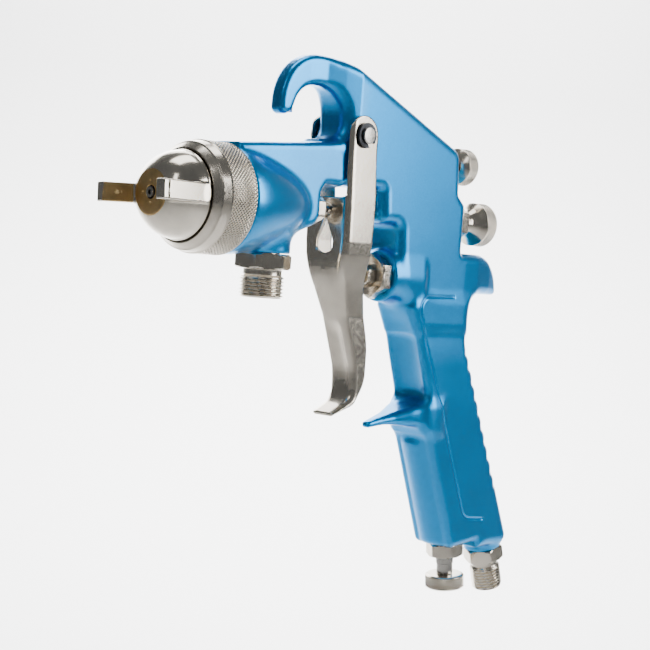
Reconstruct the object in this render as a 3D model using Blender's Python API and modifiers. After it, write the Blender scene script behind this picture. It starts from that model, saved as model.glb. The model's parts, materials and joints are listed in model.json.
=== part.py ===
"""Full-size spray gun with a hanging hook, built as an assembly of its real pieces.

Millimetre values are measured from the nozzle face: x runs back along the spray axis, z runs up from
it, and y runs across. The row's origin is the inner saddle of the hook, so every piece is parented to
one empty that stands at the nozzle face.
"""

import math

import bmesh
import bpy
from mathutils import Matrix, Vector

MM = 0.001
GAP = 0.3                      # clearance between pieces that touch, mm

# Frame of the part
SADDLE_X, SADDLE_Z = 76.0, 46.4   # inner saddle of the hook, seen from the nozzle face

# Body casting
BODY_HALF = 9.8                # half thickness of the upper body
HANDLE_HALF = 10.6             # half thickness of the handle
SPUR_HALF = 10.2               # half thickness of the finger spur at its root
NECK_HALF = 8.6                # half thickness of the neck
HEAD_R = 19.9                  # radius of the head behind the retaining ring
HEAD_FRONT = 23.6              # front face of the head, inside the ring
HEAD_BACK = 78.4               # back face of the head
NECK_UNDER = 9.6               # underside of the neck
HANDLE_BOTTOM = -138.5         # lowest face of the handle, at the air inlet
FLOW_SEAT_Z = -136.3           # face under the handle that seats the flow valve

# Spray head
RING_R = 20.6
RING_FRONT, RING_BACK = 14.3, 33.0
CAP_DOME_R = 16.0
CAP_FACE_R = 7.5
HORN_TIP_X = -9.8
HORN_HALF = 3.5
CAP_TURN = math.radians(-3.5)  # the cap is screwed down a little out of level

# Fluid inlet
FLUID_X = 57.6
FLUID_SEAT_Z = -18.2
FLUID_THREAD_R = 8.33          # 3/8 inch pipe thread
FLUID_HEX = 19.0
FLUID_END_Z = -35.2

# Needle and packing
NEEDLE_R = 1.5
NEEDLE_BORE = 1.9
SPRING_BORE = 5.0
REAR_FACE = 165.0

# Trigger
PIVOT_X, PIVOT_Z = 96.4, 29.5
PIN_R = 3.3
SHEET = 1.5
WEB_TOP = 5.2                  # upper edge of the trigger's web
ARM_INNER = BODY_HALF + GAP
ARM_OUTER = ARM_INNER + SHEET
FINGER_HALF = 6.6

# Air valve
VALVE_Z = -24.5
VALVE_FACE = 122.6

# Fan valve
FAN_Z = 23.5
FAN_FACE = 159.9

# Handle fittings: a point on each axis at the handle, and the lean of the axis from straight down
FLOW_X, FLOW_LEAN = 178.8, math.radians(7)
INLET_X, INLET_LEAN = 205.0, math.radians(17.5)
INLET_SEAT = 1.4               # how far the air inlet's seat stands out of the handle
AIR_THREAD_R = 6.58            # 1/4 inch pipe thread

SEGMENTS = 32


# ---------------------------------------------------------------- scene, materials and small tools

def clear_scene():
    for item in list(bpy.data.objects):
        bpy.data.objects.remove(item, do_unlink=True)


def collection(name):
    made = bpy.data.collections.new(name)
    bpy.context.scene.collection.children.link(made)
    return made


def principled(name, colour, metallic, roughness):
    made = bpy.data.materials.new(name)
    made.use_nodes = True
    shader = made.node_tree.nodes["Principled BSDF"]
    shader.inputs["Base Color"].default_value = (*colour, 1.0)
    shader.inputs["Metallic"].default_value = metallic
    shader.inputs["Roughness"].default_value = roughness
    made.diffuse_color = (*colour, 1.0)
    return made


def finish_object(item, material, home):
    """Put an object in its collection and under the frame empty, with its one material."""
    for owner in list(item.users_collection):
        owner.objects.unlink(item)
    home.objects.link(item)
    item.parent = FRAME
    item.data.materials.clear()
    if material:
        item.data.materials.append(material)
    return item


def as_cutter(item):
    item.hide_render = True
    item.display_type = "WIRE"
    return finish_object(item, None, CUTTERS)


def place(item, point, direction=(1, 0, 0)):
    """Turn the object's own +Z to the direction and set it at a point given in millimetres."""
    item.rotation_mode = "QUATERNION"
    item.rotation_quaternion = Vector(direction).to_track_quat("Z", "Y")
    item.location = Vector(point) * MM
    return item


def mesh_object(name, bm):
    data = bpy.data.meshes.new(name)
    bm.to_mesh(data)
    bm.free()
    item = bpy.data.objects.new(name, data)
    bpy.context.scene.collection.objects.link(item)
    return item


def boolean(target, tool, operation="DIFFERENCE"):
    step = target.modifiers.new(tool.name, "BOOLEAN")
    step.operation = operation
    step.solver = "EXACT"
    step.object = tool


def boolean_group(target, tools, operation, name):
    """Combine the target with several solids at once, through a collection of their own."""
    group = bpy.data.collections.new(name)
    CUTTERS.children.link(group)
    for tool in tools:
        as_cutter(tool)
        CUTTERS.objects.unlink(tool)
        group.objects.link(tool)
    step = target.modifiers.new(name, "BOOLEAN")
    step.operation = operation
    step.solver = "EXACT"
    step.operand_type = "COLLECTION"
    step.collection = group


def bake(item):
    """Replace an object by its evaluated mesh, welded."""
    bpy.context.view_layer.update()
    graph = bpy.context.evaluated_depsgraph_get()
    data = bpy.data.meshes.new_from_object(item.evaluated_get(graph))
    bm = bmesh.new()
    bm.from_mesh(data)
    bmesh.ops.remove_doubles(bm, verts=bm.verts, dist=0.002 * MM)
    bm.to_mesh(data)
    bm.free()
    made = bpy.data.objects.new(item.name, data)
    bpy.context.scene.collection.objects.link(made)
    made.parent = item.parent
    made.matrix_local = item.matrix_local.copy()
    name = item.name
    bpy.data.objects.remove(item, do_unlink=True)
    made.name = name
    return made


# ---------------------------------------------------------------- shape makers

def turned(name, profile, bore=None, segments=SEGMENTS):
    """Body of revolution about local Z. profile and bore are (station, radius) pairs, rising."""
    outer = [(r, z) for z, r in reversed(profile)]
    if bore:
        path = outer + [(r, z) for z, r in bore]
    else:
        path = [(0.0, profile[-1][0])] + outer + [(0.0, profile[0][0])]
    bm = bmesh.new()
    points = [bm.verts.new((r * MM, 0.0, z * MM)) for r, z in path]
    for a, b in zip(points, points[1:]):
        bm.edges.new((a, b))
    if bore:
        bm.edges.new((points[-1], points[0]))
    item = mesh_object(name, bm)
    screw = item.modifiers.new("turn", "SCREW")
    screw.angle = math.tau
    screw.steps = screw.render_steps = segments
    screw.use_merge_vertices = True
    screw.merge_threshold = 0.00001
    screw.use_smooth_shade = True
    return item


def tube(name, start, end, outer, inner, segments=SEGMENTS):
    return turned(name, [(start, outer), (end, outer)], [(start, inner), (end, inner)], segments)


def rod(name, start, end, radius, segments=24):
    return turned(name, [(start, radius), (end, radius)], segments=segments)


def hexagon(name, start, end, across_flats, chamfer=0.8, both=False):
    """Hexagonal prism about local Z whose corners are turned off at the far end, or at both."""
    corner = across_flats / math.sqrt(3)
    bm = bmesh.new()
    bmesh.ops.create_cone(bm, cap_ends=True, segments=6, radius1=corner * MM, radius2=corner * MM,
                          depth=(end - start) * MM)
    bmesh.ops.translate(bm, verts=bm.verts, vec=(0, 0, (start + end) / 2 * MM))
    prism = mesh_object(name, bm)
    flat = across_flats / 2 - 0.1
    low = flat if both else corner + 1
    profile = [(start - 0.01, low), (start + chamfer, corner + 1), (end - chamfer, corner + 1)]
    skirt = turned(name + "_chamfer", profile + [(end + 0.01, flat)])
    boolean(prism, as_cutter(skirt), "INTERSECT")
    return prism, skirt


def hex_fitting(name, hex_span, across_flats, profile, bore, point, direction, material, both=True):
    """Hexagon joined to a turned shank, with a stepped bore through both."""
    prism, skirt = hexagon(name, *hex_span, across_flats, both=both)
    shank = turned(name + "_shank", profile)
    hole = turned(name + "_bore", bore, segments=32)
    for item in (skirt, shank, hole, prism):
        place(item, point, direction)
    boolean(prism, as_cutter(shank), "UNION")
    boolean(prism, as_cutter(hole))
    return finish_object(prism, material, PARTS)


def rounded(corners, step=math.radians(15)):
    """Closed outline through corners (x, z, radius), each corner replaced by a tangent arc."""
    points = []
    count = len(corners)
    for i, (x, z, radius) in enumerate(corners):
        here = Vector((x, z))
        back = Vector(corners[i - 1][:2]) - here
        ahead = Vector(corners[(i + 1) % count][:2]) - here
        back.normalize()
        ahead.normalize()
        turn = math.pi - back.angle(ahead)
        if radius <= 0 or turn < 0.01:
            points.append(here)
            continue
        reach = radius * math.tan(turn / 2)
        start = here + back * reach
        bisector = (back + ahead).normalized()
        centre = here + bisector * (radius / math.cos(turn / 2))
        arm = start - centre
        sign = 1 if back.x * ahead.y - back.y * ahead.x < 0 else -1
        pieces = max(2, math.ceil(turn / step))
        for k in range(pieces + 1):
            angle = sign * turn * k / pieces
            spin = Matrix.Rotation(angle, 2)
            points.append(centre + spin @ arm)
    return points


def plate(name, outline, half, origin=(0.0, 0.0), edge=0.0):
    """Flat plate in the x-z plane, made from an outline in millimetres and rounded at its edges."""
    curve = bpy.data.curves.new(name, "CURVE")
    curve.dimensions = "2D"
    curve.fill_mode = "BOTH"
    curve.extrude = half * MM
    spline = curve.splines.new("POLY")
    spline.points.add(len(outline) - 1)
    for point, (x, z) in zip(spline.points, outline):
        point.co = ((x - origin[0]) * MM, (z - origin[1]) * MM, 0.0, 1.0)
    spline.use_cyclic_u = True
    item = bpy.data.objects.new(name, curve)
    bpy.context.scene.collection.objects.link(item)
    item = bake(item)
    item.data.transform(Matrix.Rotation(math.pi / 2, 4, "X"))
    bm = bmesh.new()
    bm.from_mesh(item.data)
    bmesh.ops.recalc_face_normals(bm, faces=bm.faces)
    bmesh.ops.dissolve_limit(bm, angle_limit=math.radians(1), verts=bm.verts, edges=bm.edges)
    bm.to_mesh(item.data)
    bm.free()
    if edge:
        bevel = item.modifiers.new("edge", "BEVEL")
        bevel.width = edge * MM
        bevel.segments = 1
        bevel.limit_method = "ANGLE"
        bevel.angle_limit = math.radians(60)
        item = bake(item)
    item.location = Vector((origin[0], 0.0, origin[1])) * MM
    return item


def taper(item, half, stations):
    """Thin a plate along x: stations are (x, half thickness) pairs, and each one becomes a seam."""
    bm = bmesh.new()
    bm.from_mesh(item.data)
    for x, _ in stations:
        bmesh.ops.bisect_plane(bm, geom=bm.verts[:] + bm.edges[:] + bm.faces[:],
                               plane_co=(x * MM, 0, 0), plane_no=(1, 0, 0), dist=0.00001)
    for vertex in bm.verts:
        if stations[0][0] - 5 < vertex.co.x / MM < stations[-1][0] + 5:
            vertex.co.y *= interpolate(stations, vertex.co.x / MM) / half
    bmesh.ops.triangulate(bm, faces=bm.faces)
    bm.to_mesh(item.data)
    bm.free()


def interpolate(stations, x):
    if x <= stations[0][0]:
        return stations[0][1]
    for (x0, v0), (x1, v1) in zip(stations, stations[1:]):
        if x <= x1:
            return v0 + (v1 - v0) * (x - x0) / (x1 - x0)
    return stations[-1][1]


def box(name, low, high):
    bm = bmesh.new()
    bmesh.ops.create_cube(bm, size=1.0)
    size = [(b - a) * MM for a, b in zip(low, high)]
    centre = [(a + b) / 2 * MM for a, b in zip(low, high)]
    bmesh.ops.scale(bm, verts=bm.verts, vec=size)
    bmesh.ops.translate(bm, verts=bm.verts, vec=centre)
    return mesh_object(name, bm)


def coil(name, start, end, radius, wire, turns, point, material):
    """Compression spring along x, with closed ends."""
    curve = bpy.data.curves.new(name, "CURVE")
    curve.dimensions = "3D"
    curve.bevel_depth = wire * MM
    curve.bevel_resolution = 1
    curve.use_fill_caps = True
    steps = int(turns * 10)
    spline = curve.splines.new("POLY")
    spline.points.add(steps)
    for k, knot in enumerate(spline.points):
        angle = math.tau * turns * k / steps
        x = start + wire + (end - start - 2 * wire) * k / steps
        knot.co = (x * MM, radius * math.cos(angle) * MM, radius * math.sin(angle) * MM, 1.0)
    item = bpy.data.objects.new(name, curve)
    bpy.context.scene.collection.objects.link(item)
    item = bake(item)
    item.location = Vector(point) * MM
    return finish_object(item, material, PARTS)


def along_x(item, material, z=0.0):
    return finish_object(place(item, (0, 0, z)), material, PARTS)


def bore(name, start, end, radius, z=0.0, segments=24):
    """Drill for a hole along x between two stations."""
    return place(rod(name, start, end, radius, segments), (0, 0, z))


def drill_between(name, start, end, radius, segments=20):
    """Drill for a hole between two points."""
    reach = Vector(end) - Vector(start)
    return place(rod(name, 0, reach.length, radius, segments), start, reach)


def down(lean):
    """Direction that points down and leans back by an angle."""
    return (math.sin(lean), 0.0, -math.cos(lean))


# ---------------------------------------------------------------- body casting

def flow_seat(x):
    """Height of the face that seats the flow valve, square to the valve's axis."""
    return FLOW_SEAT_Z + (x - FLOW_X) * math.tan(FLOW_LEAN)


UPPER_OUTLINE = [
    (58.1, 31.9, 2.8), (58.0, 58.2, 19.5), (88.9, 58.2, 48), (159.2, 28.8, 6), (160.5, 11.5, 1),
    (165.0, 7.5, 1.5), (165.0, -12.8, 1), (194.2, -12.8, 16), (195.2, -29.5, 1.2),
    (172.2, -29.5, 10), (171.4, -46, 0), (140, -46, 0), (133.4, -35, 6), (126.4, -26, 7),
    (124.2, -3.3, 3), (113.4, -3.3, 3), (112.0, NECK_UNDER, 1.5), (88.5, NECK_UNDER, 0),
    (88.5, 20, 0), (79, 20, 0), (79, 26.2, 0), (88.6, 26.2, 7), (89.2, SADDLE_Z, 11),
    (64.2, SADDLE_Z, 11), (65.0, 36.0, 2.6),
]
HANDLE_OUTLINE = [
    (171.6, -30, 0), (172.4, -51, 12), (212.6, HANDLE_BOTTOM, 4.5), (189.2, HANDLE_BOTTOM, 1),
    (187.6, flow_seat(187.6), 1), (170.6, flow_seat(170.6), 3), (150.6, -88.0, 30),
    (149.6, -74.0, 30), (140.6, -48.6, 60), (134.2, -36.2, 0), (140, -30, 0),
]
SPUR_OUTLINE = [
    (158, -75, 0), (158, -88, 0), (149.5, -88.0, 0), (146.0, -85.3, 6), (131, -84.6, 30),
    (121.6, -86.0, 1.0), (121.8, -83.6, 0.8), (137.5, -78.9, 30), (148.0, -75.4, 3),
]
NECK_OUTLINE = [
    (34, 21.1, 0), (70, 24.3, 80), (90, 26.3, 0), (98, 26.3, 0), (98, 11, 0),
    (91, 11, 0), (89.3, 9.2, 0), (80.5, 9.2, 1.5), (HEAD_BACK, 6, 3), (HEAD_BACK, -5.5, 6), (68, -9.5, 8),
    (45, -17, 0), (34, -17, 0),
]
HOOK_THICKNESS = [(58, 3.5), (72, 3.9), (80, 4.8), (88, 7.6), (95, BODY_HALF)]
HEEL_THICKNESS = [(166.5, BODY_HALF), (176, 9.2), (186, 7.4), (194, 5.2)]
SPUR_THICKNESS = [(121, 1.8), (128, 3.2), (135, 5.2), (142, 8.0), (148.8, SPUR_HALF)]
BULLET = [
    (HEAD_FRONT, 17.4), (33.2, 17.4), (33.3, HEAD_R), (39, 19.8), (45, 18.8), (51, 17.2),
    (57, 15.4), (63, 13.2), (68, 10.6), (72, 8.0),
]


def make_body():
    upper = plate("gun_body", rounded(UPPER_OUTLINE), BODY_HALF)
    taper(upper, BODY_HALF, HOOK_THICKNESS)
    taper(upper, BODY_HALF, HEEL_THICKNESS)
    handle = plate("handle_block", rounded(HANDLE_OUTLINE), HANDLE_HALF)
    spur = plate("spur_block", rounded(SPUR_OUTLINE), SPUR_HALF)
    taper(spur, SPUR_HALF, SPUR_THICKNESS)
    neck = plate("neck_block", rounded(NECK_OUTLINE), NECK_HALF)
    head = place(turned("head_block", BULLET, segments=48), (0, 0, 0))
    fluid_boss = place(rod("fluid_boss", -2, -FLUID_SEAT_Z, 9.8, 36), (FLUID_X, 0, 0), (0, 0, -1))
    valve_boss = place(rod("valve_boss", VALVE_FACE, 140, 10.3, 36), (0, 0, VALVE_Z))
    inlet_boss = place(rod("inlet_boss", -8, INLET_SEAT, 8.2, 36), (INLET_X, 0, HANDLE_BOTTOM),
                       down(INLET_LEAN))
    blocks = [handle, spur, neck, head, fluid_boss, valve_boss, inlet_boss]
    boolean_group(upper, blocks, "UNION", "body_blocks")
    boolean_group(upper, body_drills(), "DIFFERENCE", "body_drills")
    return finish_object(upper, BLUE, PARTS)


def body_drills():
    drills = [
        # Spray head, fluid passage, needle packing, needle and its spring
        bore("nozzle_socket", HEAD_FRONT - 1, 35, 5.3),
        bore("fluid_way", 34, FLUID_X + 2, 3.2),
        bore("needle_bore", FLUID_X, 137, NEEDLE_BORE, segments=18),
        bore("packing_socket", 67.8, HEAD_BACK + 2, 4.5, segments=26),
        drill_between("fluid_port", (FLUID_X, 0, -14), (FLUID_X, 0, 0), 3.4),
        drill_between("fluid_socket", (FLUID_X, 0, FLUID_SEAT_Z - 1), (FLUID_X, 0, -11), 6.4, 28),
        bore("spring_chamber", 136, REAR_FACE + 1, SPRING_BORE),
        # Fan valve
        bore("fan_seat", 127, 146, 2.7, FAN_Z),
        bore("fan_socket", 145, FAN_FACE + 4, 3.6, FAN_Z),
        # Air valve and its spring pocket
        bore("air_valve_socket", VALVE_FACE - 1, 135, 6.8, VALVE_Z),
        bore("air_valve_chamber", 134, 161, 5.4, VALVE_Z),
        # Air passages: up the handle, between its two sockets, and on to the fan valve
        drill_between("cross_passage", (176, 0, -126.5), (201, 0, -126.5), 2.8),
        drill_between("front_passage", (177.3, 0, -125), (147, 0, -28), 3.0),
        drill_between("fan_passage", (131, 5.2, -22), (131, 2.4, FAN_Z), 1.4, 14),
        place(rod("pin_hole", -14, 14, PIN_R + GAP, 32), (PIVOT_X, 0, PIVOT_Z), (0, 1, 0)),
    ]
    for name, x, seat, lean, radius in (("flow_socket", FLOW_X, FLOW_SEAT_Z, FLOW_LEAN, 5.3),
                                        ("inlet_socket", INLET_X, HANDLE_BOTTOM, INLET_LEAN, 5.6)):
        drills.append(place(rod(name, -13, 4, radius), (x, 0, seat), down(lean)))
    return drills


# ---------------------------------------------------------------- spray head

def make_retaining_ring():
    lip = 16.8
    outside = [(RING_FRONT, 17.4), (16.6, 19.2), (17.0, 19.5), (21.2, 20.3), (21.5, RING_R),
               (31.6, RING_R), (RING_BACK, 19.9)]
    inside = [(RING_FRONT, lip), (16.1, lip), (16.1, 17.9), (RING_BACK, 17.9)]
    return along_x(turned("retaining_ring", outside, inside, 64), NICKEL)


def dome_radius(x):
    return math.sqrt(max(CAP_DOME_R ** 2 - (x - 14.0) ** 2, 0.0))


def make_air_cap():
    stations = [0.5 + 13.0 * k / 8 for k in range(9)]
    outside = [(0.0, CAP_FACE_R)] + [(x, dome_radius(x) + 0.2) for x in stations]
    outside += [(14.4, 16.3), (16.4, 16.3), (16.4, 17.5), (19.4, 17.5)]
    inside = [(0.0, 2.4), (2.2, 2.4), (2.2, 3.6), (9.0, 9.5), (13.0, 12.5), (19.4, 14.2)]
    cap = turned("air_cap", outside, inside, 50)
    place(cap, (0, 0, 0))
    horn_side = [(13.0, 10.0), (2.4, 8.6), (-9.2, 13.7), (HORN_TIP_X, 14.3), (HORN_TIP_X, 17.1),
                 (-9.0, 17.8), (13.0, 16.0)]
    for side, name in ((1, "horn_far"), (-1, "horn_near")):
        outline = [Vector((x, side * y)) for x, y in horn_side]
        horn = plate(name, outline, HORN_HALF)
        horn.data.transform(Matrix.Rotation(-math.pi / 2, 4, "X"))
        boolean(cap, as_cutter(horn), "UNION")
        # Air gallery up the horn and its jet on the inner face
        gallery = place(rod(name + "_gallery", 0, 24.5, 1.1, 11), (-7.4, side * 15.3, 0),
                        (1, side * -0.075, 0))
        boolean(cap, as_cutter(gallery))
        jet = place(rod(name + "_jet", -6.0, 0, 0.6, 9), (-5.0, side * 15.2, 0), (-0.5, side * 1.0, 0))
        boolean(cap, as_cutter(jet))
    for k in range(4):
        angle = math.tau * k / 4
        jet = place(rod(f"cap_jet_{k}", -1, 3.2, 0.45, 11),
                    (0, 3.9 * math.sin(angle), 3.9 * math.cos(angle)))
        boolean(cap, as_cutter(jet))
    cap = bake(finish_object(cap, NICKEL, PARTS))
    cap.data.transform(Matrix.Rotation(CAP_TURN, 4, "Z"))
    return finish_object(cap, NICKEL, PARTS)


def make_fluid_nozzle():
    outside = [(-0.4, 1.9), (1.6, 2.0), (8.0, 4.3), (12.0, 4.9), (12.1, 6.4), (19.3, 6.4),
               (19.4, 5.0), (34.0, 5.0)]
    inside = [(-0.4, 0.9), (0.8, 0.9), (5.0, 2.6), (34.0, 2.6)]
    return along_x(turned("fluid_nozzle", outside, inside), STEEL)


def make_baffle():
    baffle = along_x(tube("air_baffle", 19.7, 22.2, 17.0, 5.4), BRASS)
    for k in range(8):
        angle = math.tau * (k + 0.5) / 8
        hole = place(rod(f"baffle_hole_{k}", 18, 24, 1.3, 12),
                     (0, 11 * math.sin(angle), 11 * math.cos(angle)))
        boolean(baffle, as_cutter(hole))
    return baffle


def make_head_gasket():
    return along_x(tube("head_gasket", 22.5, 23.3, 16.8, 5.6), PTFE)


# ---------------------------------------------------------------- needle and fluid control

def make_needle_group():
    needle = turned("needle", [(0.2, 0.35), (4.6, NEEDLE_R), (137.4, NEEDLE_R), (137.5, 3.2),
                               (140.5, 3.2), (140.6, 1.3), (166.0, 1.3)], segments=20)
    along_x(needle, STEEL)
    along_x(tube("needle_packing", 68.4, 72.0, 4.2, 1.8, 24), PTFE)
    hex_fitting("packing_nut", (HEAD_BACK + 0.4, 84.6), 10.0, [(72.4, 4.2), (80.0, 4.2)],
                [(72.0, NEEDLE_BORE), (86.0, NEEDLE_BORE)], (0, 0, 0), (1, 0, 0), NICKEL)
    along_x(tube("needle_collar", 92.3, 98.6, 3.6, NEEDLE_R + 0.05, 32), STEEL)
    coil("needle_spring", 141.0, 157.6, 2.7, 0.4, 7, (0, 0, 0), SPRING_STEEL)
    hex_fitting("fluid_bush", (REAR_FACE + GAP, 170.2), 14.0, [(148.0, 4.7), (168.0, 4.7)],
                [(147.0, 3.65), (171.0, 3.65)], (0, 0, 0), (1, 0, 0), NICKEL)
    along_x(tube("fluid_screw", 158.0, 186.2, 3.3, 1.8, 32), STEEL)


def make_fluid_knob():
    outside = [(170.9, 4.6), (175.6, 4.6), (178.0, 6.4), (180.0, 8.6), (180.9, 9.2), (186.2, 9.2),
               (187.0, 8.5)]
    inside = [(170.9, 3.65), (186.5, 3.65), (187.0, 3.65)]
    return along_x(turned("fluid_knob", outside, inside, 40), NICKEL)


# ---------------------------------------------------------------- trigger

TRIGGER_OUTLINE = [
    (88.6, 37.2, 7.7), (88.6, 20, 40), (89.6, 0, 60), (90.2, -24, 25), (97.8, -43, 40),
    (105.0, -62, 20), (105.8, -73.5, 6), (95.6, -79.0, 0.6), (96.2, -80.6, 0.6), (105.8, -77.4, 6),
    (112.4, -67, 14), (112.2, -52, 30), (104.8, -27, 40), (105.6, 4, 60), (104.1, 22, 40),
    (104.1, 37.2, 7.7),
]
TRIGGER_WIDTH = [(-81, FINGER_HALF), (-41, FINGER_HALF), (-30, 8.2), (-17, ARM_OUTER - 0.4),
                 (-12, ARM_OUTER), (38, ARM_OUTER)]


def trigger_front(name, inset):
    """Front view of the trigger as a solid through x: its half width at each height."""
    side = [(width - inset, z) for z, width in TRIGGER_WIDTH]
    outline = [Vector(p) for p in side] + [Vector((-w, z)) for w, z in reversed(side)]
    front = plate(name, outline, 30, origin=(0, PIVOT_Z))
    front.data.transform(Matrix.Rotation(math.pi / 2, 4, "Z"))
    front.location = Vector((PIVOT_X, 0, PIVOT_Z)) * MM
    return as_cutter(front)


def make_trigger():
    pivot = (PIVOT_X, PIVOT_Z)
    outline = rounded(TRIGGER_OUTLINE)
    trigger = plate("trigger", outline, ARM_OUTER + 1, origin=pivot)
    boolean(trigger, trigger_front("trigger_front", 0.0), "INTERSECT")
    # Hollow the channel from behind, leaving the web and the two flanges
    web = [(87.0, 60, 0), (87.0, WEB_TOP, 0), (89.6 + SHEET, WEB_TOP, 0), (89.6 + SHEET, 0, 60),
           (90.2 + SHEET, -24, 25), (97.7 + SHEET, -43, 40), (104.8 + SHEET, -62, 20),
           (105.7 + SHEET, -70, 4), (103.8 + SHEET, -76.2, 3), (125, -76.2, 0), (125, 60, 0)]
    hollow = plate("trigger_hollow", rounded(web), ARM_OUTER, origin=pivot)
    boolean(hollow, trigger_front("trigger_hollow_front", SHEET), "INTERSECT")
    boolean(trigger, as_cutter(hollow))
    pin_hole = place(rod("trigger_pin_hole", -20, 20, PIN_R + 0.1, 32), (PIVOT_X, 0, PIVOT_Z),
                     (0, 1, 0))
    boolean(trigger, as_cutter(pin_hole))
    needle_hole = place(rod("trigger_needle_hole", 85, 96, 2.7, 24), (0, 0, 0))
    boolean(trigger, as_cutter(needle_hole))
    slot = plate("trigger_slot", rounded([(0, -2.0, 0), (-1.6, -6, 3), (-3.9, -15.8, 2.9),
                                          (3.9, -15.8, 2.9), (1.6, -6, 3)]), 6)
    slot.data.transform(Matrix.Rotation(math.pi / 2, 4, "Z"))
    slot.location = Vector((91, 0, 0)) * MM
    boolean(trigger, as_cutter(slot))
    return finish_object(trigger, NICKEL, PARTS)


def make_trigger_pin():
    groove = [(-14.2, 2.9), (-13.9, PIN_R), (-13.1, PIN_R), (-13.1, 2.6), (-11.9, 2.6),
              (-11.9, PIN_R), (11.9, PIN_R), (11.9, 2.6), (13.1, 2.6), (13.1, PIN_R),
              (13.9, PIN_R), (14.2, 2.9)]
    pin = place(turned("trigger_pin", groove, segments=24), (PIVOT_X, 0, PIVOT_Z), (0, 1, 0))
    finish_object(pin, STEEL, PARTS)
    for side, name in ((-1, "pin_clip_near"), (1, "pin_clip_far")):
        clip = place(tube(name, 12.0, 13.0, 4.9, 2.9, 28), (PIVOT_X, 0, PIVOT_Z), (0, side, 0))
        mouth = box(name + "_mouth", (0.5, -14, -1.6), (6, 14, 1.6))
        mouth.location = Vector((PIVOT_X, 0, PIVOT_Z)) * MM
        mouth.rotation_euler = (0, math.radians(55), 0)
        boolean(clip, as_cutter(mouth))
        finish_object(clip, DARK_STEEL, PARTS)


# ---------------------------------------------------------------- air valve

def make_air_valve():
    hex_fitting("air_valve_housing", (117.2, VALVE_FACE - GAP), 16.0, [(121.0, 6.5), (133.6, 6.5)],
                [(116.0, 3.1), (119.9, 3.1), (120.0, 1.9), (128.0, 1.9), (128.1, 4.6), (134.0, 4.6)],
                (0, 0, VALVE_Z), (1, 0, 0), NICKEL)
    along_x(tube("air_valve_packing", 118.6, 119.7, 2.8, 1.8, 24), PTFE, VALVE_Z)
    hex_fitting("air_valve_gland", (112.6, 116.9), 8.0, [(115.0, 2.8), (118.3, 2.8)],
                [(112.0, 1.9), (119.0, 1.9)], (0, 0, VALVE_Z), (1, 0, 0), NICKEL)
    stem = turned("air_valve_stem", [(93.4, 1.1), (94.0, 1.6), (136.6, 1.6), (136.7, 3.4),
                                     (138.2, 3.4), (138.3, 1.4), (142.0, 1.4)], segments=20)
    along_x(stem, STEEL, VALVE_Z)
    along_x(tube("air_valve_seal", 134.2, 136.4, 4.3, 1.65, 32), RUBBER, VALVE_Z)
    coil("air_valve_spring", 138.6, 160.4, 3.0, 0.45, 8, (0, 0, VALVE_Z), SPRING_STEEL)


# ---------------------------------------------------------------- fan valve

def make_fan_valve():
    bush = turned("fan_bush", [(149.0, 3.3), (FAN_FACE + 0.2, 3.3), (FAN_FACE + 0.3, 5.0),
                               (161.6, 5.0), (161.7, 3.9), (163.4, 3.9)],
                  [(149.0, 2.4), (163.4, 2.4)])
    along_x(bush, NICKEL, FAN_Z)
    along_x(tube("fan_packing", 146.4, 148.7, 3.3, 2.4, 32), PTFE, FAN_Z)
    stem = turned("fan_stem", [(129.0, 0.6), (132.5, 2.1), (172.4, 2.1)], segments=24)
    along_x(stem, STEEL, FAN_Z)
    knob = turned("fan_knob", [(164.9, 4.4), (166.9, 7.5), (167.2, 7.7), (172.6, 7.7), (173.3, 7.0)],
                  [(164.9, 2.4), (173.3, 2.4)], 40)
    along_x(knob, NICKEL, FAN_Z)


# ---------------------------------------------------------------- fittings

def make_fluid_inlet():
    top = -FLUID_SEAT_Z
    end = -FLUID_END_Z
    return hex_fitting("fluid_inlet", (top + GAP, top + 6.1), FLUID_HEX,
                       [(12.0, 6.1), (top + 6.0, 6.1), (top + 6.1, 7.3), (26.8, 7.3), (27.2, 8.0),
                        (27.8, FLUID_THREAD_R), (end - 0.6, FLUID_THREAD_R), (end, 7.6)],
                       [(11.0, 4.0), (end + 1.0, 4.0)], (FLUID_X, 0, 0), (0, 0, -1), NICKEL)


def make_air_inlet():
    base = INLET_SEAT + GAP
    return hex_fitting("air_inlet", (base, base + 5.8), 15.5,
                       [(-8.0, 5.3), (7.0, 5.3), (7.1, 5.7), (10.0, 5.7), (10.4, 6.2),
                        (11.0, AIR_THREAD_R), (20.0, AIR_THREAD_R), (20.7, 5.9)],
                       [(-9.0, 3.6), (22.0, 3.6)], (INLET_X, 0, HANDLE_BOTTOM), down(INLET_LEAN),
                       NICKEL)


def make_flow_valve():
    point, direction = (FLOW_X, 0, FLOW_SEAT_Z), down(FLOW_LEAN)
    hex_fitting("flow_bush", (GAP, 5.9), 14.0, [(-9.0, 5.0), (1.0, 5.0)],
                [(-10.0, 4.1), (7.0, 4.1)], point, direction, NICKEL)
    packing = place(tube("flow_packing", -11.6, -9.3, 5.0, 3.0, 32), point, direction)
    finish_object(packing, PTFE, PARTS)
    stem = turned("flow_stem", [(-12.4, 1.2), (-10.0, 2.7), (-7.6, 2.7), (-7.4, 3.75), (9.2, 3.75),
                                (9.4, 3.45), (13.6, 3.45), (13.7, 2.4), (19.3, 2.4)])
    finish_object(place(stem, point, direction), STEEL, PARTS)
    knob = turned("flow_knob", [(14.0, 7.6), (14.5, 8.3), (19.5, 8.3), (20.0, 7.6)],
                  [(14.0, 2.7), (20.0, 2.7)], 40)
    finish_object(place(knob, point, direction), NICKEL, PARTS)


# ---------------------------------------------------------------- assembly

clear_scene()
PARTS = collection("spray_gun")
CUTTERS = collection("cutters")
FRAME = bpy.data.objects.new("nozzle_face", None)
FRAME.location = (-SADDLE_X * MM, 0, -SADDLE_Z * MM)
PARTS.objects.link(FRAME)

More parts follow.
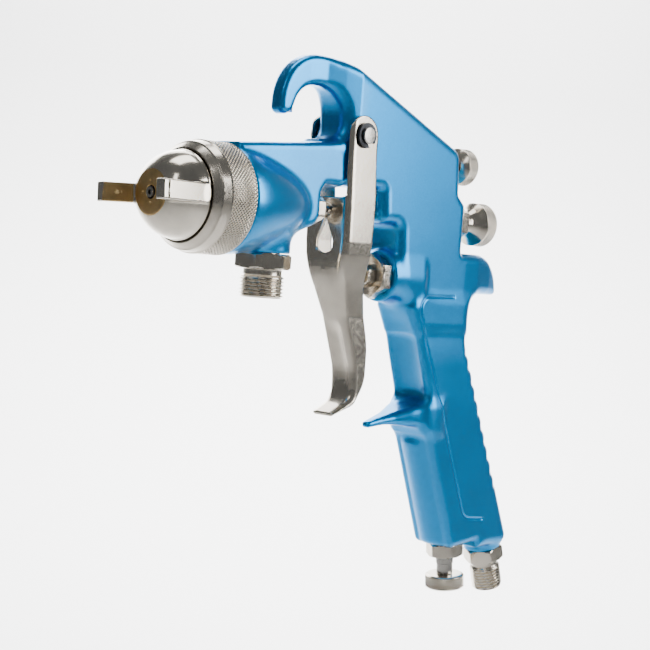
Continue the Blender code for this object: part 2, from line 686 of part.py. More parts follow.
BLUE = principled("blue_lacquer", (0.0, 0.42, 0.80), 0.6, 0.25)
NICKEL = principled("nickel_plate", (0.78, 0.74, 0.69), 1.0, 0.22)
BRASS = principled("brass", (0.78, 0.56, 0.28), 1.0, 0.28)
STEEL = principled("stainless_steel", (0.66, 0.65, 0.62), 1.0, 0.25)
DARK_STEEL = principled("black_steel", (0.06, 0.07, 0.07), 0.8, 0.4)
SPRING_STEEL = principled("spring_steel", (0.45, 0.45, 0.45), 1.0, 0.35)
PTFE = principled("ptfe", (0.9, 0.9, 0.88), 0.0, 0.45)
RUBBER = principled("rubber", (0.03, 0.03, 0.03), 0.0, 0.6)

make_body()
make_retaining_ring()
make_air_cap()
make_fluid_nozzle()
make_baffle()
make_head_gasket()
make_needle_group()
make_fluid_knob()
make_trigger()
make_trigger_pin()
make_air_valve()
make_fan_valve()
make_fluid_inlet()
make_air_inlet()
make_flow_valve()
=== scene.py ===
"""Looks of the spray gun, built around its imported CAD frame.

Shapes are described in gun millimetres: x back from the nozzle face along the spray axis, y across,
z up from the axis. The row's origin is the inner saddle of the hook. Cast and pressed pieces are
meshes drawn onto a smooth field; turned pieces are lathe meshes with their hexagons, knurls and
threads.
"""

import json
import math

import bmesh
import bpy
import numpy as np
from mathutils import Matrix, Vector


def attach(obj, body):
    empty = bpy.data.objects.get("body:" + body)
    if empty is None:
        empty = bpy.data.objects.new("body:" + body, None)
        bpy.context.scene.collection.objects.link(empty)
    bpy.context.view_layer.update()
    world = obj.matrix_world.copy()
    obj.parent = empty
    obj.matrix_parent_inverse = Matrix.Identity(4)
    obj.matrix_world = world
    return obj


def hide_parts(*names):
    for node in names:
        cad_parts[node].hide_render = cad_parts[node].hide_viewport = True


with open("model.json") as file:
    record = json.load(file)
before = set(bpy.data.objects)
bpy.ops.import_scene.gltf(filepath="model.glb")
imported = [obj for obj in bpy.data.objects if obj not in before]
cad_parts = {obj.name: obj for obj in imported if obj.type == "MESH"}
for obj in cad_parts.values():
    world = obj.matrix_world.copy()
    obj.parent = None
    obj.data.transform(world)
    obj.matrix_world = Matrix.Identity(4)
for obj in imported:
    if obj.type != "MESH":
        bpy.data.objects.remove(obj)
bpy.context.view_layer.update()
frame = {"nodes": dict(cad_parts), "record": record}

MM = 0.001
SADDLE_X, SADDLE_Z = 76.0, 46.4
SADDLE = np.array((SADDLE_X, 0.0, SADDLE_Z))

# Sizes shared with the CAD parts, in millimetres
BODY_HALF, HANDLE_HALF, SPUR_HALF, NECK_HALF = 9.8, 10.6, 10.2, 8.6
HEAD_FRONT, HEAD_BACK = 23.6, 78.4
FLUID_X, FLUID_SEAT_Z, FLUID_END_Z = 57.6, -18.2, -35.2
FAN_Z = 23.5
VALVE_Z, VALVE_FACE = -24.5, 122.6
PIVOT_X, PIVOT_Z, PIN_R = 96.4, 29.5, 3.3
SHEET = 1.5
WEB_TOP = 5.2
CAP_TURN = math.radians(-3.5)  # the air cap is screwed down a little out of level
ARM_OUTER = BODY_HALF + 0.3 + SHEET
HANDLE_BOTTOM, FLOW_SEAT_Z = -138.5, -136.3
FLOW_X, FLOW_LEAN = 178.8, math.radians(7)
INLET_X, INLET_LEAN, INLET_SEAT = 205.0, math.radians(17.5), 1.4
PIPE_PITCH, PIPE_DEPTH = 1.337, 0.8


# ---------------------------------------------------------------- outlines and fields

def rounded(corners, step=math.radians(7.5)):
    """Closed outline through corners (x, z, radius), each corner replaced by a tangent arc."""
    points = []
    for i, (x, z, radius) in enumerate(corners):
        here = Vector((x, z))
        back = (Vector(corners[i - 1][:2]) - here).normalized()
        ahead = (Vector(corners[(i + 1) % len(corners)][:2]) - here).normalized()
        turn = math.pi - back.angle(ahead)
        if radius <= 0 or turn < 0.01:
            points.append(here)
            continue
        start = here + back * radius * math.tan(turn / 2)
        centre = here + (back + ahead).normalized() * (radius / math.cos(turn / 2))
        sign = 1 if back.x * ahead.y - back.y * ahead.x < 0 else -1
        pieces = max(2, math.ceil(turn / step))
        for k in range(pieces + 1):
            points.append(centre + Matrix.Rotation(sign * turn * k / pieces, 2) @ (start - centre))
    return np.array([tuple(p) for p in points])


def outline_distance(x, z, outline):
    """Signed distance to a closed outline, negative inside it."""
    nearest = np.full(x.shape, np.inf)
    inside = np.zeros(x.shape, bool)
    for (x0, z0), (x1, z1) in zip(outline, np.roll(outline, -1, 0)):
        ex, ez = x1 - x0, z1 - z0
        wx, wz = x - x0, z - z0
        t = np.clip((wx * ex + wz * ez) / (ex * ex + ez * ez), 0, 1)
        nearest = np.minimum(nearest, (wx - ex * t) ** 2 + (wz - ez * t) ** 2)
        if ez:
            inside ^= ((z0 > z) != (z1 > z)) & (x < x0 + ex * wz / ez)
    return np.where(inside, -1, 1) * np.sqrt(nearest)


def path_distance(x, z, path):
    """Distance to an open path."""
    nearest = np.full(x.shape, np.inf)
    for (x0, z0), (x1, z1) in zip(path, path[1:]):
        ex, ez = x1 - x0, z1 - z0
        t = np.clip(((x - x0) * ex + (z - z0) * ez) / (ex * ex + ez * ez), 0, 1)
        nearest = np.minimum(nearest, (x - x0 - ex * t) ** 2 + (z - z0 - ez * t) ** 2)
    return np.sqrt(nearest)


def meet(a, b, edge):
    """Intersection of two fields whose shared edge is rounded to a radius."""
    a, b = a + edge, b + edge
    return np.minimum(np.maximum(a, b), 0) + np.hypot(np.maximum(a, 0), np.maximum(b, 0)) - edge


def join(a, b, fillet):
    """Union of two fields with a fillet between them."""
    h = np.clip(0.5 + 0.5 * (b - a) / fillet, 0, 1)
    return b + (a - b) * h - fillet * h * (1 - h)


def carve(a, b, edge):
    """Take field b away from field a, with a rounded rim."""
    return -join(-a, b, edge)


def step_between(value, low, high):
    t = np.clip((value - low) / (high - low), 0, 1)
    return t * t * (3 - 2 * t)


def along(x, z, point, lean):
    """Distance down an axis leaning back from straight down, and off it in the x-z plane."""
    dx, dz = x - point[0], z - point[1]
    return dx * math.sin(lean) - dz * math.cos(lean), dx * math.cos(lean) + dz * math.sin(lean)


def flow_seat(x):
    return FLOW_SEAT_Z + (x - FLOW_X) * math.tan(FLOW_LEAN)


UPPER = rounded([
    (58.1, 31.9, 2.8), (58.0, 58.2, 19.5), (88.9, 58.2, 48), (159.2, 28.8, 6), (160.5, 11.5, 1),
    (165.0, 7.5, 1.5), (165.0, -12.8, 1), (194.2, -12.8, 16), (195.2, -29.5, 1.2),
    (172.2, -29.5, 10), (171.4, -46, 0), (140, -46, 0), (133.4, -35, 6), (126.4, -26, 7),
    (124.2, -3.3, 3), (113.4, -3.3, 3), (112.0, 9.6, 1.5), (88.5, 9.6, 0),
    (88.5, 20, 0), (79, 20, 0), (79, 26.2, 0), (88.6, 26.2, 7), (89.2, SADDLE_Z, 11),
    (64.2, SADDLE_Z, 11), (65.0, 36.0, 2.6),
])
HANDLE = rounded([
    (171.6, -30, 0), (172.4, -51, 12), (212.6, HANDLE_BOTTOM, 4.5), (189.2, HANDLE_BOTTOM, 1),
    (187.6, flow_seat(187.6), 1), (170.6, flow_seat(170.6), 3), (150.6, -88.0, 30),
    (149.6, -74.0, 30), (140.6, -48.6, 60), (134.2, -36.2, 0), (140, -30, 0),
])
SPUR = rounded([
    (158, -75, 0), (158, -88, 0), (149.5, -88.0, 0), (146.0, -85.3, 6), (131, -84.6, 30),
    (121.6, -86.0, 1.0), (121.8, -83.6, 0.8), (137.5, -78.9, 30), (148.0, -75.4, 3),
])
NECK = rounded([
    (34, 21.1, 0), (70, 24.3, 80), (90, 26.3, 0), (98, 26.3, 0), (98, 11, 0), (91, 11, 0),
    (89.3, 9.2, 0), (80.5, 9.2, 1.5), (HEAD_BACK, 6, 3), (HEAD_BACK, -5.5, 6), (68, -9.5, 8),
    (45, -17, 0), (34, -17, 0),
])
PANEL = rounded([
    (190, -125.6, 0), (177.5, -124.6, 6), (136.4, -31.6, 5), (160.0, -31.0, 0),
])
BULLET = np.polynomial.Polynomial.fit([33, 39, 45, 51, 57, 63, 68, 72, 76],
                                      [19.9, 19.8, 18.8, 17.2, 15.4, 13.2, 10.6, 8.0, 4.4], 5)
RIDGE_PITCH, RIDGE_DEPTH, RIDGES = 7.1, 1.3, 9


def handle_field(x, y, z):
    """Handle: grip ridges at the back, a hollow front above the spur and a nose below it."""
    rear = Vector((41.2, -87.5)).normalized()
    rx, rz = x - 171.2, z + 51.0
    down_rear = rx * rear.x + rz * rear.y
    behind = -rx * rear.y + rz * rear.x
    on_rear = step_between(behind, -7.5, -1.5)
    s = (down_rear - 3.0) / RIDGE_PITCH
    ridge = 1 - np.sqrt(np.sin(math.pi * s) ** 2 + 0.015)
    ridge *= step_between(s, -0.25, 0.1) * step_between(RIDGES + 0.1 - s, -0.1, 0.25)
    front = 1 - step_between(behind, -30, -22)
    hollow = step_between(z, -76, -70) * step_between(-z, 36, 44)
    hollow = hollow * np.clip(1 - (y / 7.6) ** 2, 0, 1)
    nose = step_between(-z, 88, 94) * np.clip(1 - (y / 6.6) ** 2, 0, 1)
    shift = RIDGE_DEPTH * ridge * on_rear - 2.4 * hollow * front + 2.0 * nose * front
    flat = outline_distance(x + shift, z, HANDLE)
    half = HANDLE_HALF - 0.8 * step_between(z, -60, -36)
    edge = 2.8 + 2.0 * step_between(behind, -22, -12)
    return meet(flat, np.abs(y) - half, edge)


def body_field(x, y, z):
    across = np.abs(y)
    hook = np.interp(x, [58, 72, 80, 88, 95], [3.5, 3.9, 4.8, 7.6, BODY_HALF])
    heel = np.interp(x, [166.5, 176, 186, 194], [BODY_HALF, 9.2, 7.4, 5.2])
    half = np.minimum(hook, heel)
    field = meet(outline_distance(x, z, UPPER), across - half, np.clip(0.62 * half, 1.5, 4.2))
    field = join(field, handle_field(x, y, z), 4.0)
    spur_half = np.interp(x, [121, 128, 135, 142, 149], [1.8, 3.2, 5.2, 8.0, SPUR_HALF])
    spur = meet(outline_distance(x, z, SPUR), across - spur_half, 0.6 * np.clip(spur_half, 0, 5))
    field = join(field, spur, 5.0)
    # Head: the bullet behind the ring, the neck plate and the bosses
    radius = np.hypot(y, z)
    bullet = 0.93 * (radius - BULLET(np.clip(x, 33, 77)))
    bullet = np.maximum(np.maximum(bullet, 33.3 - x), x - 76)
    neck = meet(outline_distance(x, z, NECK), across - NECK_HALF, 2.4)
    field = join(field, join(bullet, neck, 1.6), 3.0)
    field = np.maximum(field, 33.3 - x)
    boss = meet(np.hypot(x - FLUID_X, y) - 9.8, np.maximum(FLUID_SEAT_Z - z, z), 0.6)
    field = join(field, boss, 3.5)
    valve = np.hypot(y, z - VALVE_Z) - 10.3
    field = join(field, meet(valve, np.maximum(VALVE_FACE - x, x - 140), 0.8), 4.0)
    down, off = along(x, z, (INLET_X, HANDLE_BOTTOM), INLET_LEAN)
    inlet = meet(np.hypot(off, y) - 8.2, np.maximum(down - INLET_SEAT, -8 - down), 0.5)
    field = join(field, inlet, 2.0)
    spigot = np.maximum(radius - 17.4, np.maximum(HEAD_FRONT - x, x - 36))
    field = np.minimum(field, spigot)
    # Dimple on the neck and the engraved border of the panel
    field = field + 0.9 * np.exp(-((x - 45) ** 2 + y ** 2) / 2.2) * (z > 15)
    groove = np.exp(-(path_distance(x, z, PANEL) / 0.55) ** 2)
    field = field + 0.5 * groove * step_between(across, 7.4, 8.4)
    return carve(field, bores_field(x, y, z), 0.3)


BORES = [  # start, end, radius and height of each hole along x
    (22.6, 35, 5.3, 0), (34, 60, 3.2, 0), (57.6, 137, 1.9, 0), (67.8, 80.4, 4.5, 0),
    (136, 166, 5.0, 0), (127, 146, 2.7, FAN_Z), (145, 164, 3.6, FAN_Z),
    (121.6, 135, 6.8, VALVE_Z), (134, 161, 5.4, VALVE_Z),
]
PASSAGES = [  # ends and radius of each drilled passage
    ((176, 0, -126.5), (201, 0, -126.5), 2.8), ((177.3, 0, -125), (147, 0, -28), 3.0),
    ((131, 5.2, -22), (131, 2.4, FAN_Z), 1.4), ((FLUID_X, 0, -14), (FLUID_X, 0, 0), 3.4),
]


def bores_field(x, y, z):
    field = meet(np.hypot(x - PIVOT_X, z - PIVOT_Z) - PIN_R - 0.3, np.abs(y) - 14, 0)
    field = np.minimum(field, np.maximum(np.hypot(x - FLUID_X, y) - 6.4, np.abs(z + 15.5) - 4.5))
    for start, end, radius, height in BORES:
        hole = np.hypot(y, z - height) - radius
        field = np.minimum(field, np.maximum(hole, np.maximum(start - x, x - end)))
    for point, lean, radius in (((FLOW_X, FLOW_SEAT_Z), FLOW_LEAN, 5.3),
                                ((INLET_X, HANDLE_BOTTOM), INLET_LEAN, 5.6)):
        down_axis, off = along(x, z, point, lean)
        hole = np.maximum(np.hypot(off, y) - radius, np.abs(down_axis + 4.5) - 8.5)
        field = np.minimum(field, hole)
    for low, high, radius in PASSAGES:
        reach = np.subtract(high, low)
        px, py, pz = x - low[0], y - low[1], z - low[2]
        t = np.clip((px * reach[0] + py * reach[1] + pz * reach[2]) / (reach @ reach), 0, 1)
        gap = np.sqrt((px - t * reach[0]) ** 2 + (py - t * reach[1]) ** 2
                      + (pz - t * reach[2]) ** 2)
        field = np.minimum(field, gap - radius)
    return field


TRIGGER_FRONT = [
    (88.6, 20, 40), (89.6, 0, 60), (90.2, -24, 25), (97.8, -43, 40), (105.0, -62, 20),
    (105.8, -73.5, 6), (95.6, -79.0, 0.6), (96.2, -80.6, 0.6),
]
TRIGGER_SIDE = rounded([(88.6, 37.2, 7.7)] + TRIGGER_FRONT + [
    (105.8, -77.4, 6), (112.4, -67, 14), (112.2, -52, 30), (104.8, -27, 40), (105.6, 4, 60),
    (104.1, 22, 40), (104.1, 37.2, 7.7),
])
TRIGGER_SOLID = rounded([(88.6, 80, 0)] + TRIGGER_FRONT + [(105.8, -77.4, 6), (150, -77.4, 0),
                                                           (150, 80, 0)])


def trigger_field(x, y, z):
    """Pressed channel: a folded sheet, open behind, with its needle slot and pressed dimples."""
    across = np.abs(y)
    width = np.interp(z, [-81, -41, -30, -17, -12], [6.6, 6.6, 8.2, ARM_OUTER - 0.4, ARM_OUTER])
    dimple = -1.9 * np.clip(1 - (y / 3.8) ** 2 - ((z + 29.5) / 7.0) ** 2, 0, 0.55)
    channel = 1.3 * np.clip(1 - (y / 4.2) ** 2, 0, 1) * step_between(z, -72, -66)
    channel = channel * step_between(-z, 42, 48)
    web = outline_distance(x - dimple - channel, z, TRIGGER_SOLID)
    outside = meet(web, across - width, 3.2)
    inside = meet(web + SHEET, across - width + SHEET, 1.7)
    top = meet(WEB_TOP - z, across - width + SHEET + 0.01, 2.5)
    field = np.maximum(outside, -np.minimum(inside, top))
    field = meet(field, outline_distance(x, z, TRIGGER_SIDE), 0.3)
    pin = np.hypot(x - PIVOT_X, z - PIVOT_Z) - PIN_R - 0.1
    needle = np.hypot(y, z) - 2.7
    taper = 0.5 + 3.6 * step_between(-z, 2, 13)
    slot = np.maximum(across - taper, np.abs(z + 9.5) - 6.2)
    slot = join(slot, np.hypot(y, z + 12.4) - 4.2, 1.0)
    opening = np.maximum(np.minimum(needle, slot), x - 97)
    return carve(carve(field, opening, 0.25), pin, 0.2)


HORN = np.array([(13.0, 10.0), (2.4, 8.6), (-9.2, 13.7), (-9.8, 14.3), (-9.8, 17.1), (-9.0, 17.8),
                 (13.0, 16.0)])


def cap_field(x, y, z):
    """Domed air cap with a flat nozzle face, a flange and two horns."""
    y, z = (y * math.cos(CAP_TURN) + z * math.sin(CAP_TURN),
            z * math.cos(CAP_TURN) - y * math.sin(CAP_TURN))
    radius = np.hypot(y, z)
    dome = np.hypot(x - 14.0, radius) - 16.1
    dome = meet(dome, -x, 0.25)
    dome = np.maximum(dome, x - 14.4)
    flange = meet(radius - 16.3, np.maximum(13.0 - x, x - 17.4), 0.25)
    skirt = meet(radius - 17.5, np.maximum(16.4 - x, x - 19.4), 0.2)
    field = np.minimum(np.minimum(dome, flange), skirt)
    horn = meet(outline_distance(x, np.abs(y), HORN), np.abs(z) - 3.5, 0.45)
    notch = np.maximum(np.abs(x + 6.6) - 0.35, 17.1 - np.abs(y))
    horn = np.maximum(horn, -notch)
    field = join(field, horn, 0.6)
    hollow = np.interp(x, [0, 2.2, 2.21, 9.0, 13.0, 19.4], [2.4, 2.4, 3.6, 9.5, 12.5, 14.2])
    field = np.maximum(field, -(radius - hollow))
    jets = np.minimum(np.hypot(np.abs(y) - 3.9, z), np.hypot(y, np.abs(z) - 3.9)) - 0.55
    field = np.maximum(field, -np.maximum(jets, x - 2.5))
    horn_jet = np.hypot(x + 5.4, z) - 0.8
    horn_jet = np.maximum(horn_jet, np.abs(y) - 15.2)
    gallery = np.hypot(np.abs(y) - 15.3 + 0.075 * (x + 7.4), z) - 1.1
    gallery = np.maximum(gallery, -7.4 - x)
    return np.maximum(field, -np.minimum(horn_jet, gallery))


# ---------------------------------------------------------------- meshes from fields

def new_piece(name, data, body, node, material):
    piece = bpy.data.objects.new(name, data)
    bpy.context.scene.collection.objects.link(piece)
    data.materials.clear()
    data.materials.append(material)
    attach(piece, body)
    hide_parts(node)
    return piece


def read_points(data):
    flat = np.empty(len(data.vertices) * 3)
    data.vertices.foreach_get("co", flat)
    return flat.reshape(-1, 3) / MM + SADDLE


def write_points(data, points):
    data.vertices.foreach_set("co", ((points - SADDLE) * MM).ravel())
    data.update()


def draw_onto(points, field, rounds):
    """Move points along the field's gradient onto its surface."""
    h = 0.05
    for _ in range(rounds):
        value = field(*points.T)
        slope = np.stack([field(*(points + h * axis).T) - field(*(points - h * axis).T)
                          for axis in np.eye(3)], 1) / (2 * h)
        size = np.maximum((slope ** 2).sum(1), 0.05)
        points = points - slope * np.clip(value / size, -1.2, 1.2)[:, None]
    return points


def welded_copy(node):
    data = frame["nodes"][node].data.copy()
    bm = bmesh.new()
    bm.from_mesh(data)
    bmesh.ops.remove_doubles(bm, verts=bm.verts, dist=0.003 * MM)
    bm.to_mesh(data)
    bm.free()
    return data


def remeshed(node, voxel):
    item = bpy.data.objects.new("remesh_" + node, welded_copy(node))
    bpy.context.scene.collection.objects.link(item)
    step = item.modifiers.new("remesh", "REMESH")
    step.mode = "VOXEL"
    step.voxel_size = voxel * MM * 1
    bpy.context.view_layer.update()
    graph = bpy.context.evaluated_depsgraph_get()
    data = bpy.data.meshes.new_from_object(item.evaluated_get(graph))
    bpy.data.objects.remove(item)
    return data


def refine(data, wanted):
    """Split the edges of the mesh whose middle passes the test wanted(x, y, z)."""
    bm = bmesh.new()
    bm.from_mesh(data)
    edges = list(bm.edges)
    middles = np.array([(e.verts[0].co + e.verts[1].co) / 2 for e in edges]) / MM + SADDLE
    chosen = [e for e, pick in zip(edges, wanted(*middles.T)) if pick]
    bmesh.ops.subdivide_edges(bm, edges=chosen, cuts=1, use_grid_fill=True)
    bm.to_mesh(data)
    bm.free()


def sculpted(name, node, body, field, voxel, material, detail=None):
    data = remeshed(node, voxel)
    write_points(data, draw_onto(read_points(data), field, 5))
    if detail:
        for _ in range(2):
            refine(data, detail)
        write_points(data, draw_onto(read_points(data), field, 2))
    data.shade_smooth()
    return new_piece(name, data, body, node, material)


# ---------------------------------------------------------------- turned pieces

def hexagonal(across_flats, start, end):
    """Shape of a hexagon on a turned piece between two stations."""
    def shape(angle, s, r):
        wedge = (angle + math.pi / 6) % (math.pi / 3) - math.pi / 6
        return np.where((s > start) & (s < end), np.minimum(r, across_flats / 2 / np.cos(wedge)), r)
    return shape


def threaded(major, start, end):
    """Shape of a pipe thread cut into a turned piece between two stations."""
    def shape(angle, s, r):
        turn = (s / PIPE_PITCH - angle / math.tau) % 1
        cut = PIPE_DEPTH * np.clip(1.25 - np.abs(2 * turn - 1) * 1.5, 0, 1)
        run_in = step_between(s, start, start + 1.2) * step_between(-s, -end, -end + 0.7)
        return np.where((r > major - 1.5) & (s > start) & (s < end), r - cut * run_in, r)
    return shape


def knurled(start, end, count, pitch, depth):
    """Shape of a diamond knurl between two stations."""
    def shape(angle, s, r):
        u = count * angle / math.tau
        v = (s - start) / pitch
        ridge = np.minimum(np.abs((u + v) % 1 - 0.5), np.abs((u - v) % 1 - 0.5)) * 2
        fade = step_between(s, start, start + 0.3) * step_between(-s, -end, -end + 0.3)
        return r - depth * (1 - np.clip(ridge * 1.6, 0, 1)) * fade
    return shape


def lathe(name, node, body, corners, place, material, shapes=(), count=96, fine=None):
    """Turn a closed profile of (station, radius, corner radius).

    fine is (start, end, step, least radius): where the profile gets closely spaced rings.
    """
    path = rounded(corners, math.radians(22.5))
    path[:, 1] = np.maximum(path[:, 1], 0.02)
    if fine:
        ends = zip(path, np.roll(path, -1, 0))
        path = np.concatenate([fill_in(a, b, *fine) for a, b in ends])
    angle = np.arange(count) * math.tau / count
    s, turn = np.meshgrid(path[:, 0], angle, indexing="ij")
    r = np.repeat(path[:, 1:2], count, 1)
    for shape in shapes:
        r = shape(turn, s, r)
    points = np.stack([r * np.cos(turn), r * np.sin(turn), s], -1).reshape(-1, 3)
    rings = len(path)
    faces = []
    for i in range(rings):
        a, b = i * count, (i + 1) % rings * count
        faces += [(a + k, a + (k + 1) % count, b + (k + 1) % count, b + k) for k in range(count)]
    data = bpy.data.meshes.new(name)
    data.from_pydata((points * MM).tolist(), [], faces)
    base, direction = place
    turn_to = Vector(direction).to_track_quat("Z", "Y").to_matrix().to_4x4()
    data.transform(Matrix.Translation((Vector(base) - Vector(SADDLE)) * MM) @ turn_to)
    bm = bmesh.new()
    bm.from_mesh(data)
    bmesh.ops.recalc_face_normals(bm, faces=bm.faces)
    bm.to_mesh(data)
    bm.free()
    data.shade_smooth()
    data.set_sharp_from_angle(angle=math.radians(38))
    return new_piece(name, data, body, node, material)


def fill_in(a, b, start, end, step, least):
    """Points from a up to b, closely spaced where the profile runs through the fine stretch."""
    middle = (a[0] + b[0]) / 2
    pieces = 1
    if start < middle < end and a[1] > least and abs(b[0] - a[0]) > step:
        pieces = math.ceil(abs(b[0] - a[0]) / step)
    t = np.arange(pieces)[:, None] / pieces
    return a + (b - a) * t


def down(lean):
    return (math.sin(lean), 0.0, -math.cos(lean))


AHEAD = (1.0, 0.0, 0.0)


def make_turned_pieces(nickel, steel):
    """Rings, nuts, knobs and fittings."""
    # Retaining ring
    lathe("ring", "retaining_ring", "ring",
          [(14.3, 17.2, 0.2), (16.6, 19.0, 0.2), (17.0, 19.6, 0.2), (20.2, 20.2, 0.2), (20.6,
           20.6, 0.1),
           (32.4, 20.6, 0.2), (33.0, 20.0, 0.2), (33.0, 17.95, 0), (16.2, 17.95, 0), (16.2, 16.8,
           0),
           (14.3, 16.8, 0.1)],
          ((0, 0, 0), AHEAD), nickel, [knurled(20.7, 32.3, 88, 1.5, 0.5)], 704,
          (20.6, 32.4, 0.25, 20))
    # Nuts and bushes: hexagons with turned-off corners
    lathe("gland", "packing_nut", "frame",
          [(72.4, 4.2, 0), (78.8, 4.2, 0), (78.8, 5.6, 0.2), (84.0, 5.75, 0.2), (84.6, 4.9, 0.3),
           (84.6, 1.95, 0), (72.4, 1.95, 0)],
          ((0, 0, 0), AHEAD), nickel, [hexagonal(10.0, 78.7, 84.7)])
    lathe("fluid_bush_turned", "fluid_bush", "frame",
          [(148.0, 4.7, 0), (165.3, 4.7, 0), (165.3, 7.1, 0.2), (165.9, 8.0, 0.3), (169.5, 8.0,
           0.3),
           (170.2, 6.9, 0.3), (170.2, 3.65, 0), (148.0, 3.65, 0)],
          ((0, 0, 0), AHEAD), nickel, [hexagonal(14.0, 165.2, 170.3)])
    lathe("fan_bush_turned", "fan_bush", "frame",
          [(149.0, 3.3, 0), (160.15, 3.3, 0), (160.15, 5.0, 0.2), (161.6, 5.0, 0.3), (161.8, 3.9,
           0.2),
           (163.4, 3.9, 0.3), (163.4, 2.4, 0), (149.0, 2.4, 0)],
          ((0, 0, FAN_Z), AHEAD), nickel)
    lathe("valve_housing", "air_valve_housing", "frame",
          [(117.2, 1.9, 0), (117.2, 7.7, 0.3), (117.9, 9.2, 0.3), (121.7, 9.2, 0.3), (122.3, 8.0,
           0.2),
           (122.3, 6.5, 0), (133.6, 6.5, 0), (133.6, 4.6, 0), (128.1, 4.6, 0), (128.0, 1.9, 0)],
          ((0, 0, VALVE_Z), AHEAD), nickel, [hexagonal(16.0, 117.1, 122.4)])
    lathe("valve_gland", "air_valve_gland", "frame",
          [(112.6, 1.9, 0), (112.6, 3.8, 0.2), (113.1, 4.6, 0.3), (116.9, 4.6, 0.2), (116.9, 1.9,
           0)],
          ((0, 0, VALVE_Z), AHEAD), nickel, [hexagonal(8.0, 112.5, 117.0)])
    # Pipe fittings
    top, end = -FLUID_SEAT_Z, -FLUID_END_Z
    lathe("fluid_fitting", "fluid_inlet", "frame",
          [(12.0, 4.0, 0), (12.0, 6.1, 0), (top + 0.3, 6.1, 0), (top + 0.3, 9.6, 0.2),
           (top + 1.0, 10.9, 0.3), (top + 5.5, 10.9, 0.3), (top + 6.1, 9.7, 0.3), (top + 6.2,
           7.3, 0.4),
           (26.6, 7.3, 0.4), (27.4, 8.33, 0.1), (end - 0.7, 8.33, 0.2), (end, 7.5, 0.2), (end,
           4.4, 0.2),
           (end - 0.8, 4.0, 0)],
          ((FLUID_X, 0, 0), (0, 0, -1)), nickel,
          [hexagonal(19.0, top + 0.2, top + 6.15), threaded(8.33, 27.0, end)], 96, (27.0, end,
           0.12, 8))
    base = INLET_SEAT + 0.3
    lathe("air_fitting", "air_inlet", "frame",
          [(-8.0, 3.6, 0), (-8.0, 5.3, 0), (base, 5.3, 0), (base, 7.9, 0.2), (base + 0.7, 8.8, 0.3),
           (base + 5.2, 8.8, 0.3), (base + 5.8, 7.9, 0.3), (base + 5.9, 5.7, 0.4), (10.0, 5.7, 0.3),
           (10.8, 6.58, 0.1), (20.0, 6.58, 0.2), (20.7, 5.9, 0.2), (20.7, 4.0, 0.2), (19.9, 3.6,
           0)],
          ((INLET_X, 0, HANDLE_BOTTOM), down(INLET_LEAN)), nickel,
          [hexagonal(15.4, base - 0.1, base + 5.85), threaded(6.58, 10.4, 20.7)], 96, (10.4,
           20.7, 0.12, 6.3))
    flow = ((FLOW_X, 0, FLOW_SEAT_Z), down(FLOW_LEAN))
    lathe("flow_bush_turned", "flow_bush", "frame",
          [(-9.0, 4.1, 0), (-9.0, 5.0, 0), (0.3, 5.0, 0), (0.3, 7.0, 0.2), (0.9, 8.0, 0.3),
           (5.3, 8.0, 0.3), (5.9, 7.0, 0.3), (5.9, 4.1, 0)],
          flow, nickel, [hexagonal(14.0, 0.2, 6.0)])
    # Knobs
    lathe("fluid_knob_turned", "fluid_knob", "fluid_knob",
          [(170.9, 3.65, 0), (170.9, 4.6, 0.3), (175.4, 4.6, 1.5), (178.2, 6.6, 4), (180.4, 9.1,
           0.3),
           (186.4, 9.2, 0.3), (187.0, 8.5, 0.3), (187.0, 3.65, 0)],
          ((0, 0, 0), AHEAD), nickel, [knurled(180.8, 186.3, 60, 1.3, 0.38)], 480,
          (180.6, 186.5, 0.2, 9))
    lathe("fan_knob_turned", "fan_knob", "fan_knob",
          [(164.9, 2.4, 0), (164.9, 4.4, 0.4), (167.0, 7.6, 0.3), (172.6, 7.7, 0.3), (173.3, 7.0,
           0.3),
           (173.3, 2.4, 0)],
          ((0, 0, FAN_Z), AHEAD), nickel, [knurled(167.3, 172.5, 52, 1.2, 0.35)],
          416,
          (167.1, 172.7, 0.2, 7.5))
    lathe("flow_knob_turned", "flow_knob", "flow_knob",
          [(14.0, 2.7, 0), (14.0, 7.5, 0.3), (14.6, 8.3, 0.3), (19.4, 8.3, 0.3), (20.0, 7.5, 0.3),
           (20.0, 2.7, 0)],
          flow, nickel, [knurled(14.6, 19.4, 56, 1.2, 0.38)], 448, (14.5, 19.5,
          0.2, 8))
    # Pin, with grooves for its clips
    lathe("pin", "trigger_pin", "frame",
          [(-14.2, 0, 0), (-14.2, 3.0, 0.3), (-13.9, PIN_R, 0.2), (-13.1, PIN_R, 0), (-13.1, 2.6,
           0),
           (-11.9, 2.6, 0), (-11.9, PIN_R, 0), (11.9, PIN_R, 0), (11.9, 2.6, 0), (13.1, 2.6, 0),
           (13.1, PIN_R, 0), (13.9, PIN_R, 0.2), (14.2, 3.0, 0.3), (14.2, 0, 0)],
          ((PIVOT_X, 0, PIVOT_Z), (0, 1, 0)), steel)


# ---------------------------------------------------------------- materials

def shader(name, colour, metallic, roughness):
    made = bpy.data.materials.new(name)
    made.use_nodes = True
    tree = made.node_tree
    surface = tree.nodes["Principled BSDF"]
    surface.inputs["Base Color"].default_value = (*colour, 1)
    surface.inputs["Metallic"].default_value = metallic
    surface.inputs["Roughness"].default_value = roughness
    return made, tree, surface


def link(tree, source, target):
    tree.links.new(source, target)


